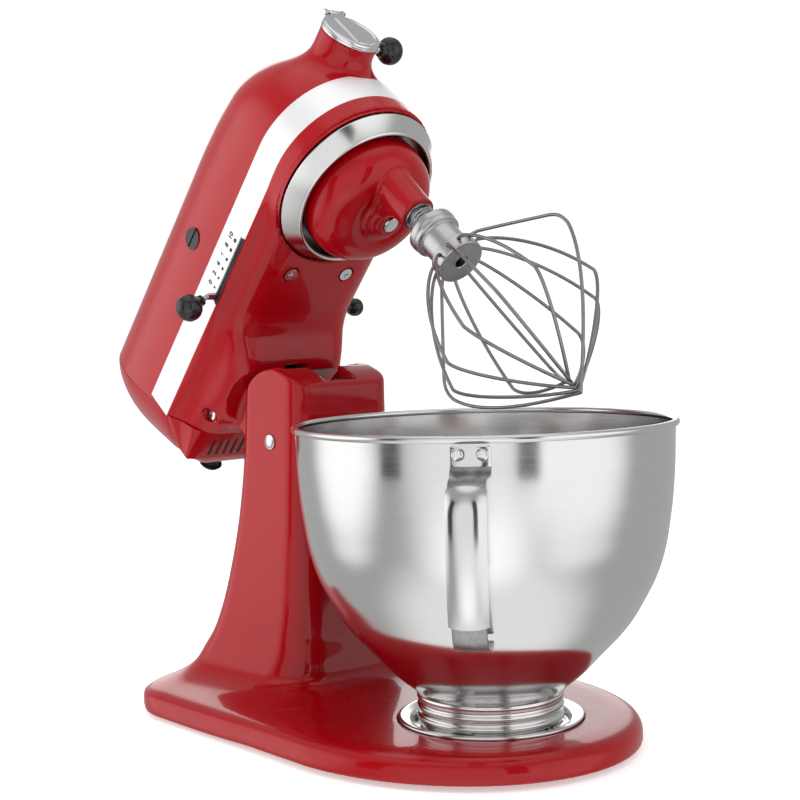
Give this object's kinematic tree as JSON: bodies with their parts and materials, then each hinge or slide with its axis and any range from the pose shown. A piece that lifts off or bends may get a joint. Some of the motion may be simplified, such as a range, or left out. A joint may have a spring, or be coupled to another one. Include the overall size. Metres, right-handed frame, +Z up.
{
  "type": "tilt-head stand mixer",
  "caption": "Tilt-head kitchen stand mixer with enamelled castings, a steel bowl with a strap handle, a wire whip, planetary gearing and an attachment hub.",
  "frame": {"origin": "on the table under the bowl's axis", "axes": "+X towards the bowl end of the machine, +Z up, the speed lever on the -Y side"},
  "size_m": [0.4431, 0.2271, 0.4365],
  "materials": {
    "red_enamel": "deep gloss enamel",
    "polished_steel": "polished, faint spun grain",
    "bright_chrome": "mirror chrome",
    "satin_aluminium": "satin, turned",
    "whip_wire": "drawn stainless wire",
    "band_metal": "bright anodised",
    "scale_ink": "printed black",
    "black_knob": "moulded, glossy",
    "black_rubber": "matt",
    "plain_steel": "machined",
    "gear_steel": "machined, oiled",
    "cast_alloy": "as cast",
    "bronze": "machined",
    "copper": "enamelled wire",
    "carbon": "pressed carbon",
    "fan_plastic": "moulded nylon",
    "board_green": "laminate"
  },
  "bodies": {
    "stand": {"base_casting": "red_enamel", "pedestal": "red_enamel", "base_screws": "plain_steel", "rubber_feet": "black_rubber", "bowl_clamp_plate": "polished_steel", "clamp_screws": "plain_steel", "hinge_pin": "bright_chrome", "pin_set_screw": "plain_steel", "lock_keeper": "plain_steel"},
    "bowl": {"bowl_shell": "polished_steel", "bowl_foot": "polished_steel", "bowl_handle": "polished_steel", "bowl_rivets": "polished_steel"},
    "head": {"upper_housing": "red_enamel", "lower_gearcase": "red_enamel", "rear_end_cover": "red_enamel", "trim_band": "band_metal", "speed_scale": "scale_ink", "gearcase_screws": "bright_chrome", "cover_screws": "bright_chrome", "brush_caps": "black_knob", "brush_holders": "bronze", "carbon_brushes": "carbon", "stator_core": "gear_steel", "field_coils": "copper", "motor_bearings": "plain_steel", "bearing_plates": "cast_alloy", "control_plate": "board_green", "cord_grommet": "black_rubber", "hub_collar": "bright_chrome", "hub_bearing": "bronze", "ring_gear": "gear_steel", "drip_ring": "polished_steel", "shaft_bushes": "bronze"},
    "planetary": {"planetary": "red_enamel", "planetary_pin": "bright_chrome", "centre_shaft": "plain_steel", "centre_gear": "gear_steel", "centre_bevel": "gear_steel"},
    "pinion": {"pinion_shaft": "plain_steel", "worm_wheel": "bronze"},
    "armature": {"armature_core": "gear_steel", "commutator": "copper", "cooling_fan": "fan_plastic", "worm": "gear_steel"},
    "hub_drive": {"hub_drive": "gear_steel"},
    "beater": {"beater_shaft": "plain_steel", "planet_pinion": "gear_steel", "shaft_washer": "plain_steel", "beater_spring": "plain_steel", "shaft_drive_pin": "plain_steel"},
    "whip": {"whip_hub": "satin_aluminium", "whip_wires": "whip_wire"},
    "speed_lever": {"speed_lever": "plain_steel", "speed_knob": "black_knob"},
    "head_lock": {"lock_lever": "plain_steel", "lock_knob": "black_knob"},
    "hub_knob": {"hub_knob": "black_knob", "hub_screw": "bright_chrome"},
    "hub_cap": {"hub_cap": "bright_chrome"}
  },
  "joints": [
    {"name": "head_tilt", "type": "hinge", "parent": "stand", "child": "head", "pos_m": [-0.14717, 0, 0.17144], "axis": [0, 1, 0], "range_deg": [0, 50.35]},
    {"name": "planetary_spin", "type": "hinge", "parent": "head", "child": "planetary", "pos_m": [-0.09835, 0, 0.32212], "axis": [-0.77, 0, 0.6381], "continuous": true},
    {"name": "pinion_spin", "type": "hinge", "parent": "head", "child": "pinion", "pos_m": [-0.15212, 0.025, 0.31993], "axis": [-0.77, 0, 0.6381], "continuous": true},
    {"name": "motor_spin", "type": "hinge", "parent": "head", "child": "armature", "pos_m": [-0.22612, 0, 0.27216], "axis": [0.6381, 0, 0.77], "continuous": true},
    {"name": "hub_spin", "type": "hinge", "parent": "head", "child": "hub_drive", "pos_m": [-0.12518, 0, 0.39631], "axis": [0.6381, 0, 0.77], "continuous": true},
    {"name": "beater_spin", "type": "hinge", "parent": "planetary", "child": "beater", "pos_m": [-0.06182, -0.00359, 0.31919], "axis": [-0.77, 0, 0.6381], "continuous": true},
    {"name": "whip_push", "type": "slide", "parent": "beater", "child": "whip", "axis": [-0.77, 0, 0.6381], "range_m": [0, 0.008], "stiffness_N_per_m": 300, "springref_m": -0.01, "deforming": ["beater_spring"]},
    {"name": "speed_slide", "type": "slide", "parent": "head", "child": "speed_lever", "axis": [0.6381, 0, 0.77], "range_m": [0, 0.043]},
    {"name": "lock_slide", "type": "slide", "parent": "head", "child": "head_lock", "axis": [0.6381, 0, 0.77], "range_m": [0, 0.006]},
    {"name": "hub_knob_turn", "type": "hinge", "parent": "head", "child": "hub_knob", "pos_m": [-0.11114, 0.035, 0.41325], "axis": [0, 1, 0], "range_deg": [0, 720]},
    {"name": "hub_cap_lift", "type": "hinge", "parent": "head", "child": "hub_cap", "pos_m": [-0.12087, 0, 0.43443], "axis": [0, -1, 0], "range_deg": [0, 110]},
    {"name": "bowl_twist", "type": "hinge", "parent": "stand", "child": "bowl", "pos_m": [0, 0, 0.02], "axis": [0, 0, 1], "range_deg": [-25, 0]}
  ],
  "couplings": [
    {"joint": "pinion_spin", "follows": "planetary_spin", "ratio": -3},
    {"joint": "motor_spin", "follows": "planetary_spin", "ratio": 72},
    {"joint": "hub_spin", "follows": "planetary_spin", "ratio": 1},
    {"joint": "beater_spin", "follows": "planetary_spin", "ratio": -3}
  ]
}
